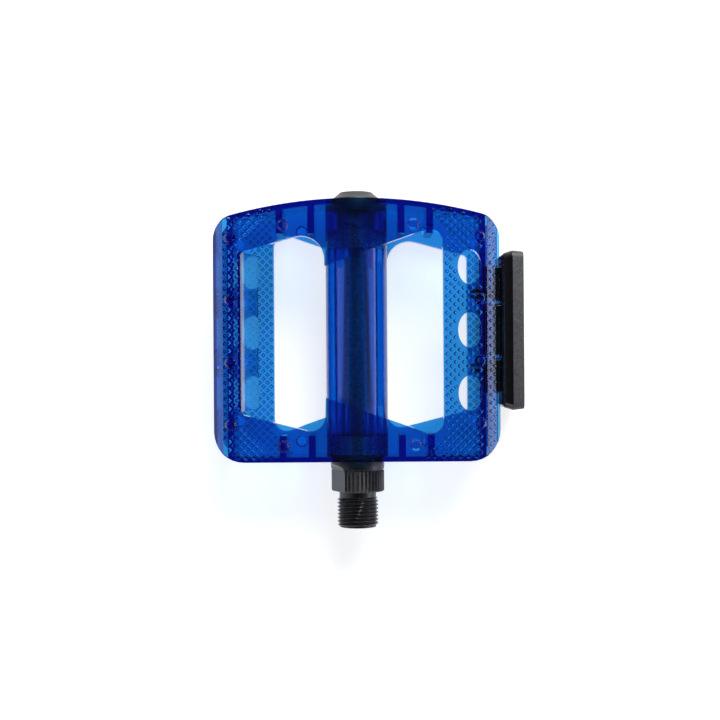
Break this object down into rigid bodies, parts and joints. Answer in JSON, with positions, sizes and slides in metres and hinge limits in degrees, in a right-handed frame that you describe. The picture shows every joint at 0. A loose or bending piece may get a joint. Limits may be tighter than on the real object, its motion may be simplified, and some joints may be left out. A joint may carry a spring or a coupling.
{
  "type": "flat pedal",
  "caption": "Translucent flat bicycle pedal with a knurled open platform, cup-and-cone bearing axle and one side reflector.",
  "frame": {"origin": "on the axle's centre line, at the shoulder that seats against the crank arm", "axes": "+X across the platform towards the reflector, +Y along the axle away from the crank, +Z out of a tread face"},
  "size_m": [0.1061, 0.1167, 0.03],
  "materials": {
    "platform_plastic": "translucent moulded polycarbonate",
    "axle_steel": "black oxide, satin",
    "race_steel": "ground bearing steel",
    "ball_steel": "polished bearing steel",
    "lock_steel": "zinc plated",
    "seal_rubber": "matt",
    "cap_plastic": "satin moulded",
    "housing_plastic": "fine moulded texture",
    "lens_plastic": "prismatic reflector lens"
  },
  "bodies": {
    "spindle": {"axle": "axle_steel", "outer_cone": "race_steel", "lock_washer": "lock_steel", "lock_nut": "lock_steel"},
    "platform": {"body": "platform_plastic", "inner_dust_seal": "seal_rubber", "inner_cup": "race_steel", "outer_cup": "race_steel", "end_cap": "cap_plastic", "reflector_housing": "housing_plastic", "reflector_lens": "lens_plastic"},
    "inner_ball_row": {"inner_ball_01": "ball_steel", "inner_ball_02": "ball_steel", "inner_ball_03": "ball_steel", "inner_ball_04": "ball_steel", "inner_ball_05": "ball_steel", "inner_ball_06": "ball_steel", "inner_ball_07": "ball_steel", "inner_ball_08": "ball_steel", "inner_ball_09": "ball_steel", "inner_ball_10": "ball_steel", "inner_ball_11": "ball_steel", "inner_ball_12": "ball_steel"},
    "outer_ball_row": {"outer_ball_01": "ball_steel", "outer_ball_02": "ball_steel", "outer_ball_03": "ball_steel", "outer_ball_04": "ball_steel", "outer_ball_05": "ball_steel", "outer_ball_06": "ball_steel", "outer_ball_07": "ball_steel", "outer_ball_08": "ball_steel", "outer_ball_09": "ball_steel", "outer_ball_10": "ball_steel", "outer_ball_11": "ball_steel"}
  },
  "joints": [
    {"name": "platform_spin", "type": "hinge", "parent": "spindle", "child": "platform", "pos_m": [0, 0, 0], "axis": [0, 1, 0], "continuous": true},
    {"name": "inner_row_spin", "type": "hinge", "parent": "spindle", "child": "inner_ball_row", "pos_m": [0, 0.016, 0], "axis": [0, 1, 0], "continuous": true},
    {"name": "outer_row_spin", "type": "hinge", "parent": "spindle", "child": "outer_ball_row", "pos_m": [0, 0.0876, 0], "axis": [0, 1, 0], "continuous": true}
  ],
  "couplings": [
    {"joint": "inner_row_spin", "follows": "platform_spin", "ratio": 0.585},
    {"joint": "outer_row_spin", "follows": "platform_spin", "ratio": 0.5951}
  ]
}
